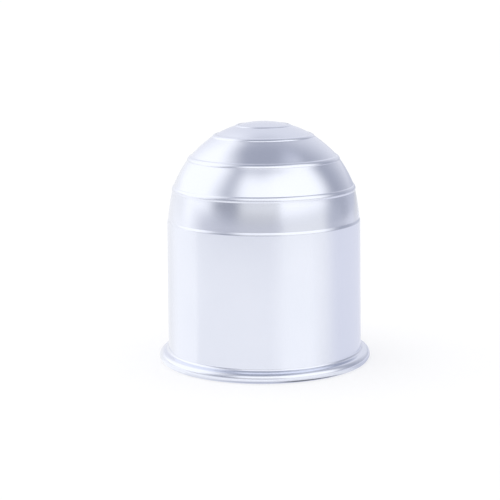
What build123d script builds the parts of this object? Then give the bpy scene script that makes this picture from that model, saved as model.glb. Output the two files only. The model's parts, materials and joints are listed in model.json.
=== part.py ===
from build123d import *
import os
from math import cos, radians, sin, tan

# Tow ball cover: one moulded cap with a ringed dome, a plain body and a beaded rim.
# Millimetres. +Z is the cap's axis, up. The origin is the centre of the rim's resting plane.

# Fit on the ball
ball_diameter = 50.0
ball_clearance = 0.1
wall = 1.9
mouth_chamfer = 1.0

# Overall outside
height = 67.0
body_draft = 0.5  # degrees; the body widens towards the mouth

# Rim: a round bead, cut flat by the resting plane, under a sloping neck
rim_overhang = 2.5
rim_bead_radius = 1.6
rim_bead_foot = 51.0  # degrees below level where the resting plane cuts the bead
rim_neck_slope = 25.0  # degrees; the neck falls away from the body

# Dome: shallow tiers that meet at ring lines, each line covered by a fine raised band
ring_elevations = (18.5, 39.0, 59.3, 74.2)  # degrees above the dome's centre, from the lowest up
tier_bulges = (0.75, 0.7, 0.85)  # above the straight lowest tier; 1 follows the sphere, 0 is a cone
ring_width = 1.6
ring_height = 0.18
ring_bevel = 26.0  # degrees
ring_root = 0.3  # how far the band's section reaches under the dome's face

# Shoulder: the lowest ring, a small sloping ledge where the dome meets the body
shoulder_ledge = 0.25
shoulder_height = 0.6

# Sizes that follow
bore_radius = ball_diameter / 2 + ball_clearance
body_radius = bore_radius + wall
dome_radius = body_radius - shoulder_ledge
dome_centre_z = height - dome_radius
shoulder_z = dome_centre_z - shoulder_height
ring_stops = (0.0,) + ring_elevations + (90.0,)
tier_facings = [(low + high) / 2 for low, high in zip(ring_stops, ring_stops[1:])]
band_depth = ring_height + ring_root
band_base = ring_width + 2 * ring_root / tan(radians(ring_bevel))


def on_dome(elevation, radius=dome_radius):
    """Point of the section at an elevation in degrees, on a circle about the dome's centre."""
    return (radius * cos(radians(elevation)), dome_centre_z + radius * sin(radians(elevation)))


def on_tier(low, high, bulge):
    """Middle point of the tier between two elevations, flattened towards its chord."""
    chord = dome_radius * cos(radians(high - low) / 2)
    return on_dome((low + high) / 2, chord + bulge * (dome_radius - chord))


def on_body(z):
    """Point of the body's drafted wall at a height."""
    return (body_radius + (shoulder_z - z) * tan(radians(body_draft)), z)


# Rim bead, from the resting plane round to where the neck touches it
bead_z = rim_bead_radius * sin(radians(rim_bead_foot))
bead_x = on_body(bead_z)[0] + rim_overhang - rim_bead_radius


def on_bead(angle):
    """Point of the rim bead at an angle in degrees above level."""
    turn = radians(angle)
    return (bead_x + rim_bead_radius * cos(turn), bead_z + rim_bead_radius * sin(turn))


# Neck, a straight slope from the bead up to the body's wall
neck_foot = on_bead(90 - rim_neck_slope)
neck_rise = tan(radians(rim_neck_slope))
neck_lean = 1 - neck_rise * tan(radians(body_draft))
neck_top = on_body(neck_foot[1] + (neck_foot[0] - on_body(neck_foot[1])[0]) * neck_rise / neck_lean)

# Corners of the inside's end: cones that face as the tiers do under a flat top, all clear of the ball
bore_facings = [0.0] + tier_facings[:-1] + [90.0]
bore_corners = [
    on_dome((low + high) / 2, bore_radius / cos(radians(high - low) / 2))
    for low, high in zip(bore_facings, bore_facings[1:])
]
bore_end = (0, dome_centre_z + bore_radius)

with BuildPart() as cover_shell:
    # Outside of the cap, as a full solid of revolution
    with BuildSketch(Plane.XZ):
        with BuildLine():
            Line((0, 0), on_bead(-rim_bead_foot))
            ThreePointArc(on_bead(-rim_bead_foot), on_bead(0), neck_foot)
            Polyline(neck_foot, neck_top, on_body(shoulder_z), on_dome(0), on_dome(ring_elevations[0]))
            for low, high, bulge in zip(ring_elevations, ring_elevations[1:], tier_bulges):
                ThreePointArc(on_dome(low), on_tier(low, high, bulge), on_dome(high))
            ThreePointArc(on_dome(ring_elevations[-1]), on_dome(tier_facings[-1]), (0, height))
            Line((0, height), (0, 0))
        make_face()
        # Ring bands with bevelled edges, each set into the line where two tiers meet
        for elevation in ring_elevations:
            with Locations(Location(on_dome(elevation, dome_radius - ring_root), elevation - 90)):
                Trapezoid(band_base, band_depth, ring_bevel, align=(Align.CENTER, Align.MIN))
    revolve(axis=Axis.Z)

    # Inside: a straight bore whose end keeps a nearly even wall under the tiers
    with BuildSketch(Plane.XZ):
        with BuildLine():
            Polyline((0, 0), (bore_radius, 0), *bore_corners, bore_end, close=True)
        make_face()
    revolve(axis=Axis.Z, mode=Mode.SUBTRACT)

    # Lead-in at the mouth
    mouth = cover_shell.edges().filter_by(GeomType.CIRCLE).group_by(Axis.Z)[0].sort_by(SortBy.RADIUS)[0]
    chamfer(mouth, mouth_chamfer)

cover_shell.part.label = "cover_shell"

os.makedirs("parts", exist_ok=True)
export_step(cover_shell.part, "parts/cover_shell.step")
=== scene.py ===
import json
from functools import partial
from math import asin, ceil, cos, degrees, hypot, pi, radians, sin, tan
from typing import NamedTuple

import bmesh
import bpy
from bpy.props import FloatProperty, FloatVectorProperty, IntProperty, PointerProperty
from mathutils import Matrix, Vector


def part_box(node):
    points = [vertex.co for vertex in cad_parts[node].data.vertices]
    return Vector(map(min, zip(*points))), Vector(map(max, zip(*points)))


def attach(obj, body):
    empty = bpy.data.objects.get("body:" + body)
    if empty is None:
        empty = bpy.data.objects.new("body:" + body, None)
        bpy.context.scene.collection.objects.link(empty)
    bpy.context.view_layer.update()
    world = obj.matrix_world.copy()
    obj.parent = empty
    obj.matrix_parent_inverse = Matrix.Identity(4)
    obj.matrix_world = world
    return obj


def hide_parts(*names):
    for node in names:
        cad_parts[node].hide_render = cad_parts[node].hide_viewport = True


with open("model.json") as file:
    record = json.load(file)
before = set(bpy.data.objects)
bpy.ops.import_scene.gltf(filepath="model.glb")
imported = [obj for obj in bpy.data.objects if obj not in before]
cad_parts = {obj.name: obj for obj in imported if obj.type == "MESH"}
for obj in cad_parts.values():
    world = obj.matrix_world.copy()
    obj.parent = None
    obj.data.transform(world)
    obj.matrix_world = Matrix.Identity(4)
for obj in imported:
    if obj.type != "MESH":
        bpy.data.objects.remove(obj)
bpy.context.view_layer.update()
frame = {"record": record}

bl_info = {
    "name": "Tow Ball Cover",
    "version": (1, 0, 0),
    "blender": (4, 5, 0),
    "location": "View3D > Sidebar > Tow Cover",
    "description": "Builds a satin plated tow ball cover with its studio",
    "category": "Object",
}

MM = 0.001
WHITE = (1.0, 1.0, 1.0, 1.0)
CAD_LOW, CAD_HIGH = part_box("cover_shell")
BORE = next(m for m in frame["record"]["mounts"] if m["name"] == "ball_bore")
BORE_RADIUS = BORE["dims"]["r_mm"] * MM


def linear(code):
    """Linear RGB of an sRGB hex colour such as '#E6E9F2'."""
    levels = [int(code[i : i + 2], 16) / 255 for i in (1, 3, 5)]
    return [v / 12.92 if v <= 0.04045 else ((v + 0.055) / 1.055) ** 2.4 for v in levels]


def length(label, about, size):
    """A length that a user may change, given in metres."""
    return FloatProperty(name=label, description=about, default=size, min=0.0, precision=5, unit="LENGTH")


def ring_lengths(label, about, sizes):
    """A length for each ring that a user may change, given in millimetres from the lowest ring up."""
    return FloatVectorProperty(
        name=label,
        description=about,
        default=[size * MM for size in sizes],
        size=len(sizes),
        min=0.0,
        precision=5,
        unit="LENGTH",
    )


def angle(label, about, size):
    """An angle that a user may change, given in degrees."""
    return FloatProperty(name=label, description=about, default=radians(size), subtype="ANGLE")


def amount(label, about, size):
    """A plain number that a user may change."""
    return FloatProperty(name=label, description=about, default=size, min=0.0, precision=3)


def colour(label, about, code):
    """A colour that a user may change, given as sRGB hex."""
    return FloatVectorProperty(
        name=label, description=about, default=linear(code), size=3, min=0.0, max=1.0, subtype="COLOR"
    )


class CoverSizes(bpy.types.PropertyGroup):
    """Sizes of the cover's half section"""

    height: length("Height", "From the resting plane to the crown", CAD_HIGH.z)
    rim_radius: length("Rim radius", "Outside of the rim's bead", CAD_HIGH.x)
    bore_radius: length("Bore radius", "Inside that slips over the ball", BORE_RADIUS)
    bore_end_round: length("Bore end round", "Radius in the corners of the bore's end", BORE_RADIUS / 4)
    wall: length("Wall", "Thickness of the body's wall at the shoulder", 1.9 * MM)
    body_draft: angle("Body draft", "How much the body widens towards the mouth", 0.5)
    mouth_chamfer: length("Mouth chamfer", "Lead-in round the mouth", 1.0 * MM)
    mouth_round: length("Mouth round", "Radius where the bore meets the lead-in", 1.0 * MM)
    lip_round: length("Lip round", "Radius where the lead-in meets the resting plane", 0.5 * MM)
    rim_bead: length("Rim bead", "Radius of the rim's round bead", 1.5 * MM)
    rim_foot: angle("Rim foot", "Below level, where the resting plane cuts the bead", 53.0)
    foot_round: length("Foot round", "Radius where the bead meets the resting plane", 0.25 * MM)
    rim_ledge: angle("Rim ledge", "Fall of the narrow ledge on top of the bead", 10.0)
    rim_hollow: length("Rim hollow", "Radius of the hollow between the ledge and the body", 0.75 * MM)
    shoulder_ledge: length("Shoulder ledge", "How far the body stands out from the dome", 0.25 * MM)
    shoulder_height: length("Shoulder height", "Height of the shoulder's slope", 0.6 * MM)
    shoulder_round: length("Shoulder round", "Radius on the shoulder's outer edge", 1.5 * MM)
    ring_elevations: FloatVectorProperty(
        name="Ring elevations",
        description="Where the rings lie on the dome, above its centre, from the lowest up",
        default=[radians(e) for e in (18.5, 39.0, 59.3, 74.2)],
        size=4,
        unit="ROTATION",
    )
    ring_widths: ring_lengths("Ring widths", "Each ring's bead across its foot", (1.6, 1.6, 1.5, 1.3))
    ring_heights: ring_lengths("Ring heights", "How far each ring stands proud", (0.22, 0.22, 0.2, 0.17))
    tier_bulges: FloatVectorProperty(
        name="Tier bulges",
        description="From 0, a straight cone, to 1, part of the sphere; from the lowest tier up",
        default=(0.4, 0.75, 0.7, 0.85, 1.0),
        size=5,
    )
    crease_round: length("Crease round", "Radius in the creases at the rings and the shoulder", 0.06 * MM)
    segments: IntProperty(name="Segments", description="Facets round the cover", default=256, min=24)


class CoverFinish(bpy.types.PropertyGroup):
    """Colours and surface of the plating"""

    silver: colour("Silver", "Plating, where it is brightest", "#E6E9F3")
    silver_shade: colour("Silver shade", "Plating, where it is a little thinner", "#E0E4EF")
    roughness: amount("Roughness", "Roughness of the satin plating", 0.2)
    gloss_spread: amount("Gloss spread", "Share by which that roughness varies", 0.08)
    patch: length("Patch", "Width of the patches in which tint and gloss vary", 20.0 * MM)
    ripple: length("Ripple", "Width of the moulded surface's soft ripples", 3.0 * MM)
    ripple_depth: length("Ripple depth", "Depth of those ripples", 0.002 * MM)
    inside_grey: colour("Inside grey", "Thin dull plating inside", "#CFD2DA")
    inside_roughness: amount("Inside roughness", "Roughness inside", 0.42)
    inside_spread: amount("Inside spread", "Share by which the inside's roughness varies", 0.2)
    grain: length("Inside grain", "Width of the grain inside", 1.2 * MM)
    grain_depth: length("Inside grain depth", "Depth of that grain", 0.01 * MM)


class StudioLook(bpy.types.PropertyGroup):
    """Stage, light and camera"""

    paper: colour("Paper", "The floor's paper, before its glow", "#BCBCBE")
    paper_lift: amount("Paper lift", "Glow that brings the paper up to white where it shows", 0.53)
    sky: amount("Sky", "Even light from all round", 0.92)
    sun: amount("Sun", "Soft light from the upper left", 0.3)
    sun_azimuth: angle("Sun azimuth", "Where the soft light stands, round from the camera", -100.0)
    sun_elevation: angle("Sun elevation", "How high the soft light stands", 50.0)
    sun_spread: angle("Sun spread", "How wide the soft light is", 60.0)
    camera_distance: length("Camera distance", "From the cover's axis, along the floor", 401.0 * MM)
    camera_height: length("Camera height", "Above the floor", 106.8 * MM)
    camera_pitch: angle("Camera pitch", "How far the camera looks down", 10.74)
    camera_pan: angle("Camera pan", "How far the camera looks to the left of the cover", 0.563)
    camera_roll: angle("Camera roll", "How far the camera leans", 0.55)
    camera_lens: FloatProperty(
        name="Lens", description="Focal length", default=104.4, subtype="DISTANCE_CAMERA"
    )


# Straight steps along each arc of the section
BEAD_STEPS = 36
HOLLOW_STEPS = 20
TIER_STEPS = 8
RING_STEPS = 12

# Turn along the bead that is kept free for the round at its foot
FOOT_ROOM = radians(10)

# On a rounded corner, the turn from point to point; a corner that turns less than the least stays sharp
ROUND_STEP = radians(5)
LEAST_TURN = ROUND_STEP / 4


def on_circle(centre, radius, turn):
    """Point of the section on a circle, at an angle above level."""
    return (centre[0] + radius * cos(turn), centre[1] + radius * sin(turn))


def arc(centre, radius, start, stop, steps):
    """Corners of the section along a circle, none of them rounded again."""
    turns = [start + (stop - start) * i / steps for i in range(steps + 1)]
    return [(*on_circle(centre, radius, turn), 0.0) for turn in turns]


def rounded(corners):
    """Points of an outline whose corners are (x, z, radius); a corner of radius 0 stays a point."""
    points = [Vector(corners[0][:2])]
    for before, (x, z, radius), after in zip(corners, corners[1:], corners[2:]):
        here = Vector((x, z))
        back = (Vector(before[:2]) - here).normalized()
        onward = (Vector(after[:2]) - here).normalized()
        turn = pi - back.angle(onward)
        if radius == 0.0 or turn < LEAST_TURN:
            points.append(here)
            continue
        cut = radius * tan(turn / 2)
        centre = here + (back + onward).normalized() * radius / cos(turn / 2)
        first = (here + back * cut - centre).normalized()
        last = (here + onward * cut - centre).normalized()
        steps = max(2, ceil(turn / ROUND_STEP))
        points += [centre + radius * first.slerp(last, i / steps) for i in range(steps + 1)]
    return points + [Vector(corners[-1][:2])]


class CoverSection:
    """Half section of the cover; its corners are (distance from the axis, height, radius of the round)."""

    def __init__(self, sizes):
        self.sizes = sizes
        self.body_radius = sizes.bore_radius + sizes.wall
        self.dome_radius = self.body_radius - sizes.shoulder_ledge
        self.dome_centre = (0.0, sizes.height - self.dome_radius)
        # Elevations at which the tiers begin and end
        self.stops = [0.0, *sizes.ring_elevations, pi / 2]

    def on_body(self, z):
        """Outside of the drafted body at a height."""
        top = self.dome_centre[1] - self.sizes.shoulder_height
        return self.body_radius + (top - z) * tan(self.sizes.body_draft)

    def inside(self):
        """Corners from the inside's flat end down to the mouth, along cones that face as the tiers do."""
        sizes = self.sizes
        middles = [(low + high) / 2 for low, high in zip(self.stops, self.stops[1:])]
        facings = [0.0, *middles[:-1], pi / 2]
        corners = [(0.0, self.dome_centre[1] + sizes.bore_radius, 0.0)]
        for low, high in reversed(list(zip(facings, facings[1:]))):
            reach = sizes.bore_radius / cos((high - low) / 2)
            corner = on_circle(self.dome_centre, reach, (low + high) / 2)
            corners.append((*corner, sizes.bore_end_round))
        corners.append((sizes.bore_radius, sizes.mouth_chamfer, sizes.mouth_round))
        return corners

    def rim(self):
        """Corners from the mouth round the rim's bead and hollow up to the body."""
        sizes = self.sizes
        bead = sizes.rim_bead
        bead_centre = (sizes.rim_radius - bead, bead * sin(sizes.rim_foot))
        # The ledge leaves the bead and meets the hollow where both have its slope
        facing = pi / 2 - sizes.rim_ledge
        ledge_out = on_circle(bead_centre, bead, facing)
        hollow = sizes.rim_hollow
        hollow_x = self.on_body(ledge_out[1] + hollow) + hollow
        ledge_width = ledge_out[0] - (hollow_x - hollow * cos(facing))
        hollow_z = ledge_out[1] + ledge_width * tan(sizes.rim_ledge) + hollow * sin(facing)
        return [
            (sizes.bore_radius + sizes.mouth_chamfer, 0.0, sizes.lip_round),
            (*on_circle(bead_centre, bead, -sizes.rim_foot), sizes.foot_round),
            *arc(bead_centre, bead, FOOT_ROOM - sizes.rim_foot, facing, BEAD_STEPS),
            *arc((hollow_x, hollow_z), hollow, facing - pi, -pi, HOLLOW_STEPS),
        ]

    def shoulder(self):
        """Corners of the small ledge between the body and the dome."""
        sizes = self.sizes
        foot_z = self.dome_centre[1] - sizes.shoulder_height
        return [
            (self.on_body(foot_z), foot_z, sizes.shoulder_round),
            (self.dome_radius, self.dome_centre[1], sizes.crease_round),
        ]

    def tier(self, low, high, bulge, trims):
        """Corners along one tier of the dome, short of the rings beside it."""
        middle = (low + high) / 2
        half = self.dome_radius * sin((high - low) / 2)
        chord = self.dome_radius * cos((high - low) / 2)
        rise = bulge * (self.dome_radius - chord)
        radius = (half**2 + rise**2) / (2 * rise)
        centre = on_circle(self.dome_centre, chord + rise - radius, middle)
        reach = asin(half / radius)
        start = middle - reach + trims[0] / radius
        stop = middle + reach - trims[1] / radius
        corners = arc(centre, radius, start, stop, TIER_STEPS)
        if trims[1]:
            corners[-1] = (*corners[-1][:2], self.sizes.crease_round)
        if not trims[0]:
            # The lowest tier starts at the shoulder's own crease
            return corners[1:]
        corners[0] = (*corners[0][:2], self.sizes.crease_round)
        return corners

    def ring(self, index):
        """Corners over a ring's low round bead, between the creases at its feet."""
        elevation = self.sizes.ring_elevations[index]
        half = self.sizes.ring_widths[index] / 2
        rise = self.sizes.ring_heights[index]
        radius = (half**2 + rise**2) / (2 * rise)
        centre = on_circle(self.dome_centre, self.dome_radius + rise - radius, elevation)
        reach = asin(half / radius)
        return arc(centre, radius, elevation - reach, elevation + reach, RING_STEPS)[1:-1]

    def outside(self):
        """Corners from the shoulder up over the rings to the crown."""
        trims = [0.0, *(width / 2 for width in self.sizes.ring_widths), 0.0]
        corners = []
        for i, bulge in enumerate(self.sizes.tier_bulges):
            corners += self.tier(self.stops[i], self.stops[i + 1], bulge, trims[i : i + 2])
            if i < len(self.sizes.ring_widths):
                corners += self.ring(i)
        # The last arc ends at the crown, which is put exactly on the axis
        corners[-1] = (0.0, self.sizes.height, 0.0)
        return corners

    def in_bore(self, face):
        """Whether a face of the turned cover looks towards the axis from within the bore."""
        middle = face.center
        faces_axis = face.normal.x * middle.x + face.normal.y * middle.y < 0
        within_wall = hypot(middle.x, middle.y) < self.sizes.bore_radius + self.sizes.mouth_chamfer / 2
        above_mouth = middle.z > self.sizes.mouth_chamfer
        return faces_axis and within_wall and above_mouth


def add_node(tree, kind, links=None, **settings):
    """Adds a node; settings are its own properties, and links are input values or sockets to join."""
    made = tree.nodes.new(kind)
    for name, value in settings.items():
        setattr(made, name, value)
    for name, value in (links or {}).items():
        if isinstance(value, bpy.types.NodeSocket):
            tree.links.new(value, made.inputs[name])
        else:
            made.inputs[name].default_value = value
    return made


def new_material(name):
    """An empty node material and its tree."""
    material = bpy.data.materials.new(name)
    material.use_nodes = True
    material.node_tree.nodes.clear()
    return material, material.node_tree


def rgba(values):
    """A colour property as a socket's four numbers."""
    return (*values, 1.0)


# The Mix node has sockets of the same name for each kind of value; these are its colours
MIX_FIRST = 6
MIX_SECOND = 7
MIX_RESULT = 2

# Most of a noise texture's values lie between these
NOISE_LOW = 0.3
NOISE_HIGH = 0.7


def satin_plating(finish):
    """Bright metal plated on moulded ABS and left satin: a cool silver whose reflections are soft.

    The moulding's face isn't optically flat, so they waver a little, and the plating's
    thickness gives faint patches of tint and gloss.
    """
    material, tree = new_material("satin_plated_abs")
    place = add_node(tree, "ShaderNodeTexCoord").outputs["Object"]
    patches = add_node(
        tree, "ShaderNodeTexNoise", {"Vector": place, "Scale": 1 / finish.patch, "Detail": 3.0}
    )
    tint = add_node(
        tree,
        "ShaderNodeMix",
        {
            "Factor": patches.outputs["Fac"],
            MIX_FIRST: rgba(finish.silver),
            MIX_SECOND: rgba(finish.silver_shade),
        },
        data_type="RGBA",
    )
    gloss = add_node(
        tree,
        "ShaderNodeMapRange",
        {
            "Value": patches.outputs["Fac"],
            "From Min": NOISE_LOW,
            "From Max": NOISE_HIGH,
            "To Min": finish.roughness * (1 - finish.gloss_spread),
            "To Max": finish.roughness * (1 + finish.gloss_spread),
        },
    )
    ripples = add_node(
        tree, "ShaderNodeTexNoise", {"Vector": place, "Scale": 1 / finish.ripple, "Detail": 1.0}
    )
    waver = add_node(
        tree,
        "ShaderNodeBump",
        {"Height": ripples.outputs["Fac"], "Strength": 1.0, "Distance": finish.ripple_depth},
    )
    shader = add_node(
        tree,
        "ShaderNodeBsdfPrincipled",
        {
            "Base Color": tint.outputs[MIX_RESULT],
            "Metallic": 1.0,
            "Roughness": gloss.outputs["Result"],
            "Normal": waver.outputs["Normal"],
        },
    )
    add_node(tree, "ShaderNodeOutputMaterial", {"Surface": shader.outputs["BSDF"]})
    return material


def dull_plating(finish):
    """The same plating inside the cap, where the bath reaches less: thin, greyer and duller.

    The moulding's grain shows through it, drawn coarser than it is so that it shows in a render.
    """
    material, tree = new_material("thin_plated_abs")
    place = add_node(tree, "ShaderNodeTexCoord").outputs["Object"]
    grain = add_node(
        tree, "ShaderNodeTexNoise", {"Vector": place, "Scale": 1 / finish.grain, "Detail": 4.0}
    )
    gloss = add_node(
        tree,
        "ShaderNodeMapRange",
        {
            "Value": grain.outputs["Fac"],
            "To Min": finish.inside_roughness * (1 - finish.inside_spread),
            "To Max": finish.inside_roughness * (1 + finish.inside_spread),
        },
    )
    bump = add_node(
        tree,
        "ShaderNodeBump",
        {"Height": grain.outputs["Fac"], "Strength": 1.0, "Distance": finish.grain_depth},
    )
    shader = add_node(
        tree,
        "ShaderNodeBsdfPrincipled",
        {
            "Base Color": rgba(finish.inside_grey),
            "Metallic": 1.0,
            "Roughness": gloss.outputs["Result"],
            "Normal": bump.outputs["Normal"],
        },
    )
    add_node(tree, "ShaderNodeOutputMaterial", {"Surface": shader.outputs["BSDF"]})
    return material


def shown(tree):
    """Socket that is 1 where the camera sees, mirrored or through glass too, and 0 for light alone."""
    paths = add_node(tree, "ShaderNodeLightPath").outputs
    seen = paths["Is Camera Ray"]
    for ray in ("Is Glossy Ray", "Is Transmission Ray"):
        either = add_node(tree, "ShaderNodeMath", {0: seen, 1: paths[ray]}, operation="MAXIMUM")
        seen = either.outputs[0]
    return seen


def matt_paper(look):
    """Matt white paper: it takes the soft shadow, and a little glow where it shows brings it to white."""
    material, tree = new_material("matt_white_paper")
    lift = add_node(tree, "ShaderNodeMath", {0: shown(tree), 1: look.paper_lift}, operation="MULTIPLY")
    paper = add_node(tree, "ShaderNodeBsdfDiffuse", {"Color": rgba(look.paper)})
    glow = add_node(tree, "ShaderNodeEmission", {"Strength": lift.outputs[0]})
    both = add_node(tree, "ShaderNodeAddShader", {0: paper.outputs[0], 1: glow.outputs[0]})
    # From below the paper is clear, so that the underside can be looked at
    direct = add_node(tree, "ShaderNodeLightPath").outputs["Is Camera Ray"]
    back = add_node(tree, "ShaderNodeNewGeometry").outputs["Backfacing"]
    peek = add_node(tree, "ShaderNodeMath", {0: direct, 1: back}, operation="MULTIPLY")
    clear = add_node(tree, "ShaderNodeBsdfTransparent")
    sheet = add_node(
        tree, "ShaderNodeMixShader", {0: peek.outputs[0], 1: both.outputs[0], 2: clear.outputs[0]}
    )
    add_node(tree, "ShaderNodeOutputMaterial", {"Surface": sheet.outputs[0]})
    return material


def glowing_cloth(card):
    """A sheet that glows evenly and thins out towards its edges: on the walls it is studio cloth lit from
    behind, on the floor it is painted light and painted shadow on the paper.
    """
    material, tree = new_material(card.name)
    shader = add_node(
        tree, "ShaderNodeEmission", {"Color": rgba(linear(card.shade)), "Strength": card.glow}
    )
    if any(card.fades):
        place = add_node(tree, "ShaderNodeTexCoord").outputs["UV"]
        sides = add_node(tree, "ShaderNodeSeparateXYZ", {"Vector": place}).outputs
        covers = []
        for side, fade, span in zip(("X", "Y"), card.fades, (card.azimuths, card.reaches)):
            # How far in from the nearer edge, as a share of the card
            inset = add_node(tree, "ShaderNodeMath", {0: sides[side], 1: 0.5}, operation="PINGPONG")
            cover = add_node(
                tree,
                "ShaderNodeMapRange",
                {"Value": inset.outputs[0], "From Max": fade / (span[1] - span[0])},
                interpolation_type="SMOOTHSTEP",
            )
            covers.append(cover.outputs["Result"])
        cloth = add_node(tree, "ShaderNodeMath", {0: covers[0], 1: covers[1]}, operation="MULTIPLY")
        clear = add_node(tree, "ShaderNodeBsdfTransparent")
        shader = add_node(
            tree,
            "ShaderNodeMixShader",
            {0: cloth.outputs[0], 1: clear.outputs[0], 2: shader.outputs[0]},
        )
    add_node(tree, "ShaderNodeOutputMaterial", {"Surface": shader.outputs[0]})
    return material


# Points of the turned mesh that are nearer than this are one
MERGE_DISTANCE = 0.001 * MM


def lathe(name, outline, segments, materials):
    """Turns an outline, which starts and ends on the axis, into a closed body of revolution."""
    form = bmesh.new()
    line = [form.verts.new((x, 0.0, z)) for x, z in outline]
    edges = [form.edges.new(pair) for pair in zip(line, line[1:])]
    bmesh.ops.spin(
        form,
        geom=line + edges,
        cent=(0, 0, 0),
        axis=(0, 0, 1),
        angle=2 * pi,
        steps=segments,
        use_merge=True,
    )
    # The outline's two ends are on the axis, and turning them leaves a copy for every segment
    bmesh.ops.remove_doubles(form, verts=form.verts, dist=MERGE_DISTANCE)
    bmesh.ops.recalc_face_normals(form, faces=form.faces)
    for face in form.faces:
        face.smooth = True
    mesh = bpy.data.meshes.new(name)
    form.to_mesh(mesh)
    form.free()
    for material in materials:
        mesh.materials.append(material)
    made = bpy.data.objects.new(name, mesh)
    bpy.context.scene.collection.objects.link(made)
    return made


class TOWCOVER_OT_shell(bpy.types.Operator):
    """Turn the cover from its section and give it its plating"""

    bl_idname = "towcover.shell"
    bl_label = "Make the Cover"

    def execute(self, context):
        sizes = context.scene.cover_sizes
        finish = context.scene.cover_finish
        section = CoverSection(sizes)
        corners = section.inside() + section.rim() + section.shoulder() + section.outside()
        platings = [satin_plating(finish), dull_plating(finish)]
        cover = lathe("cover", rounded(corners), sizes.segments, platings)
        for face in cover.data.polygons:
            if section.in_bore(face):
                face.material_index = 1
        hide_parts("cover_shell")
        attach(cover, "root")
        return {"FINISHED"}


class Card(NamedTuple):
    """Glowing sheet that only the plating sees, as cloth round the cover and as painted light and shadow
    on the floor; azimuths are in degrees.

    The reaches are elevations in degrees, or for a card on the floor, metres out from the body.
    The fades are how far it thins out, in the same units: from its sides, and from its two ends.
    """

    name: str
    azimuths: tuple
    reaches: tuple
    fades: tuple
    shade: str
    glow: float


# Cloth on spheres about the cover, from the furthest to the nearest
WALL_CARDS = (
    Card("grey_tent", (-180, 180), (-6, 90), (0, 0), "#AFB2BF", 1.0),
    Card("ceiling_right", (30, 130), (50, 79), (34, 12), "#E4E7F5", 0.78),
    Card("back_cloth", (104, 260), (-30, 90), (58, 40), "#F7F8FF", 0.93),
    Card("pale_ground_right", (66, 116), (-16, 10), (16, 6), "#E4E7F5", 0.66),
    Card("softbox_left", (-174, -40), (-24, 76), (44, 26), "#FFFFFF", 1.25),
    Card("scrim_left", (-190, -96), (-8, 14), (26, 9), "#FFFFFF", 1.02),
    Card("scrim_back", (-215, -133), (-14, 6), (24, 6), "#FFFFFF", 0.96),
    Card("grey_back_right", (112, 188), (-14, 8), (30, 6), "#E4E7F5", 0.8),
    Card("softbox_front", (-56, 108), (8, 70), (32, 24), "#FFFFFF", 1.22),
    Card("softbox_right", (-3, 98), (1, 62), (28, 11), "#FFFFFF", 1.25),
    Card("reflector_low", (-40, 24), (-10, 24), (16, 12), "#FFFFFF", 0.6),
    Card("reflector_slit", (-44, 22), (10, 17.5), (14, 2), "#FFFFFF", 0.98),
    Card("grey_flag", (-70, -22), (7, 22), (14, 6), "#E4E7F5", 0.44),
    Card("pale_skirt", (-106, 60), (-16, 10), (40, 7), "#F4F5FF", 0.71),
    Card("pale_skirt_right", (14, 84), (-16, 9), (14, 6), "#FFFFFF", 0.93),
)
WALL_RADIUS = 900 * MM
WALL_GAP = 30 * MM

# Sheets on the floor that only the plating sees, from the lowest up; each makes the paper brighter or
# darker there, and most are painted pools of light and painted shadows
FLOOR_CARDS = (
    # Painted pool of light: the paper brighter to the left, on the sun's side
    Card("painted_floor_light_left", (-190, -84), (0.002, 0.7), (4, 0.003), "#FFFFFF", 1.12),
    # The paper as the plating sees it, a little darker here, behind on the left
    Card("dimmer_floor_left", (-215, -125), (0.002, 0.7), (25, 0.003), "#FFFFFF", 0.99),
    # Painted pool of light: the paper brighter in front and to the right, under the front softbox
    Card("painted_floor_light_right", (2, 76), (0.002, 0.7), (24, 0.01), "#FFFFFF", 1.12),
    # Painted shadow: the cover's soft shadow on the paper to its right, away from the sun
    Card("painted_floor_shadow_right", (70, 175), (0.002, 0.7), (26, 0.01), "#F5F6FF", 0.94),
    # The paper as the plating sees it, darker far behind on the right
    Card("dimmer_floor_far", (128, 186), (0.3, 0.9), (20, 0.15), "#FFFFFF", 0.78),
    # Painted shadow: the paper darker close round the foot on the right
    Card("painted_floor_shadow_near", (86, 230), (0.0018, 0.014), (26, 0.003), "#E4E7F5", 0.85),
    # Painted light: the paper in front of the rim brought up to white over the cover's contact shadow
    Card("painted_floor_light_front", (-100, 24), (0.0036, 0.012), (20, 0.002), "#FFFFFF", 1.14),
    # Painted contact shadow: dark sheets just under the rim's bead, the second darker on the side away
    # from the sun
    Card("painted_foot_shadow", (-76, 170), (0.0018, 0.0034), (60, 0.0004), "#E4E7F5", 0.78),
    Card("painted_foot_shadow_right", (7, 124), (0.0018, 0.0034), (26, 0.0004), "#E4E7F5", 0.26),
)
FLOOR_GAP = 0.03 * MM

# Degrees between the lines of a card's mesh, and the fewest strips it has from end to end
CARD_STEP = 4
CARD_ROWS = 2

# Side of the floor's paper, in metres
PAPER_SIZE = 40.0


def toward(azimuth, elevation):
    """Direction from the cover, in degrees: azimuth 0 is towards the camera and 90 to its right."""
    a = radians(azimuth)
    e = radians(elevation)
    return Vector((sin(a) * cos(e), -cos(a) * cos(e), sin(e)))


def on_wall(radius, azimuth, elevation):
    """Point on a sphere about the cover's middle."""
    return (CAD_LOW + CAD_HIGH) / 2 + radius * toward(azimuth, elevation)


def on_floor(body_radius, lift, azimuth, distance):
    """Point just above the floor, at a distance from the side of the body that mirrors its azimuth.

    The camera is at azimuth 0, so that side is half way round to the point's azimuth.
    """
    side = body_radius * toward(azimuth / 2, 0.0)
    return side + distance * toward(azimuth, 0.0) + Vector((0.0, 0.0, lift))


def on_paper(across, up):
    """Point of the floor's paper, which has its middle under the cover."""
    return ((across - 0.5) * PAPER_SIZE, (up - 0.5) * PAPER_SIZE, 0.0)


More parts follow.
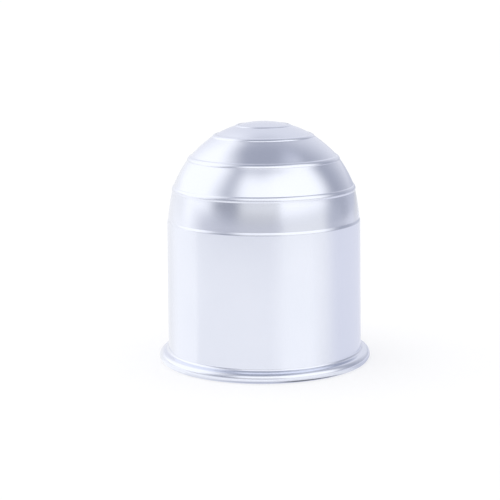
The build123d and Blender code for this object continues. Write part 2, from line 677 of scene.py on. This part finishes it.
class TOWCOVER_OT_stage(bpy.types.Operator):
    """Lay the white floor, put up the cards, set the light and the camera"""

    bl_idname = "towcover.stage"
    bl_label = "Make the Stage"

    def execute(self, context):
        look = context.scene.studio_look
        self.sheet(context, "floor_paper", 1, 1, on_paper, matt_paper(look))
        self.cards(context)
        self.light(context, look)
        self.camera(context, look)
        context.scene.view_settings.view_transform = "Standard"
        return {"FINISHED"}

    def sheet(self, context, name, columns, rows, place, material):
        """A stage sheet; place turns how far across and how far up it lies, from 0 to 1, into a point."""
        spots = [(i / columns, j / rows) for j in range(rows + 1) for i in range(columns + 1)]
        corners = [j * (columns + 1) + i for j in range(rows) for i in range(columns)]
        faces = [(c, c + 1, c + columns + 2, c + columns + 1) for c in corners]
        mesh = bpy.data.meshes.new(name)
        mesh.from_pydata([place(across, up) for across, up in spots], [], faces)
        mesh.materials.append(material)
        plan = mesh.uv_layers.new(name="plan")
        for loop in mesh.loops:
            plan.uv[loop.index].vector = spots[loop.vertex_index]
        made = bpy.data.objects.new(name, mesh)
        context.scene.collection.objects.link(made)
        return made

    def card(self, context, card, place):
        """Cloth that shows in the plating and nowhere else; place turns azimuth and reach into a point."""
        left, right = card.azimuths
        low, high = card.reaches

        def spot(across, up):
            return place(left + across * (right - left), low + up * (high - low))

        columns = ceil((right - left) / CARD_STEP)
        rows = max(ceil((high - low) / CARD_STEP), CARD_ROWS)
        made = self.sheet(context, card.name, columns, rows, spot, glowing_cloth(card))
        for ray in ("camera", "diffuse", "transmission", "volume_scatter", "shadow"):
            setattr(made, "visible_" + ray, False)

    def cards(self, context):
        """Softboxes, reflectors and grey cloth round the cover, and painted pools of light and painted
        shadows on the floor.
        """
        for i, card in enumerate(WALL_CARDS):
            self.card(context, card, partial(on_wall, WALL_RADIUS - i * WALL_GAP))
        body_radius = CoverSection(context.scene.cover_sizes).body_radius
        for i, card in enumerate(FLOOR_CARDS):
            self.card(context, card, partial(on_floor, body_radius, (i + 1) * FLOOR_GAP))

    def light(self, context, look):
        """Even white surroundings, and a wide soft light from the upper left."""
        world = bpy.data.worlds.new("white_room")
        context.scene.world = world
        world.use_nodes = True
        tree = world.node_tree
        tree.nodes.clear()
        # Plain white where it shows, and the sky's own strength as light
        strength = add_node(
            tree, "ShaderNodeMapRange", {"Value": shown(tree), "To Min": look.sky, "To Max": 1.0}
        )
        room = add_node(
            tree, "ShaderNodeBackground", {"Color": WHITE, "Strength": strength.outputs["Result"]}
        )
        add_node(tree, "ShaderNodeOutputWorld", {"Surface": room.outputs["Background"]})

        lamp = bpy.data.lights.new("soft_sun", "SUN")
        lamp.energy = look.sun
        lamp.angle = look.sun_spread
        sun = bpy.data.objects.new("soft_sun", lamp)
        context.scene.collection.objects.link(sun)
        source = toward(degrees(look.sun_azimuth), degrees(look.sun_elevation))
        sun.rotation_euler = source.to_track_quat("Z", "Y").to_euler()
        sun.visible_glossy = False

    def camera(self, context, look):
        """Camera in front of the cover, a little above it."""
        data = bpy.data.cameras.new("camera")
        data.sensor_width = 36.0
        data.lens = look.camera_lens
        data.clip_start = 10 * MM
        data.clip_end = 100.0
        camera = bpy.data.objects.new("camera", data)
        context.scene.collection.objects.link(camera)
        pan = Matrix.Rotation(look.camera_pan, 4, "Z")
        pitch = Matrix.Rotation(pi / 2 - look.camera_pitch, 4, "X")
        roll = Matrix.Rotation(-look.camera_roll, 4, "Z")
        place = Matrix.Translation((0.0, -look.camera_distance, look.camera_height))
        camera.matrix_world = place @ pan @ pitch @ roll
        context.scene.camera = camera


class TOWCOVER_PT_sidebar(bpy.types.Panel):
    """Sizes, finish and stage of the cover"""

    bl_idname = "TOWCOVER_PT_sidebar"
    bl_label = "Tow Ball Cover"
    bl_space_type = "VIEW_3D"
    bl_region_type = "UI"
    bl_category = "Tow Cover"

    def draw(self, context):
        layout = self.layout
        for group in (context.scene.cover_sizes, context.scene.cover_finish, context.scene.studio_look):
            box = layout.box()
            for name in group.bl_rna.properties.keys():
                if name not in ("rna_type", "name"):
                    box.prop(group, name)
        layout.operator(TOWCOVER_OT_shell.bl_idname)
        layout.operator(TOWCOVER_OT_stage.bl_idname)


CLASSES = (
    CoverSizes,
    CoverFinish,
    StudioLook,
    TOWCOVER_OT_shell,
    TOWCOVER_OT_stage,
    TOWCOVER_PT_sidebar,
)


def register():
    """Adds the classes and their properties to Blender."""
    for made in CLASSES:
        bpy.utils.register_class(made)
    bpy.types.Scene.cover_sizes = PointerProperty(type=CoverSizes)
    bpy.types.Scene.cover_finish = PointerProperty(type=CoverFinish)
    bpy.types.Scene.studio_look = PointerProperty(type=StudioLook)


def unregister():
    """Takes the properties and the classes out again."""
    del bpy.types.Scene.studio_look
    del bpy.types.Scene.cover_finish
    del bpy.types.Scene.cover_sizes
    for made in reversed(CLASSES):
        bpy.utils.unregister_class(made)


def main():
    """Builds the cover and its stage."""
    register()
    bpy.ops.towcover.shell()
    bpy.ops.towcover.stage()


if __name__ == "__main__":
    main()
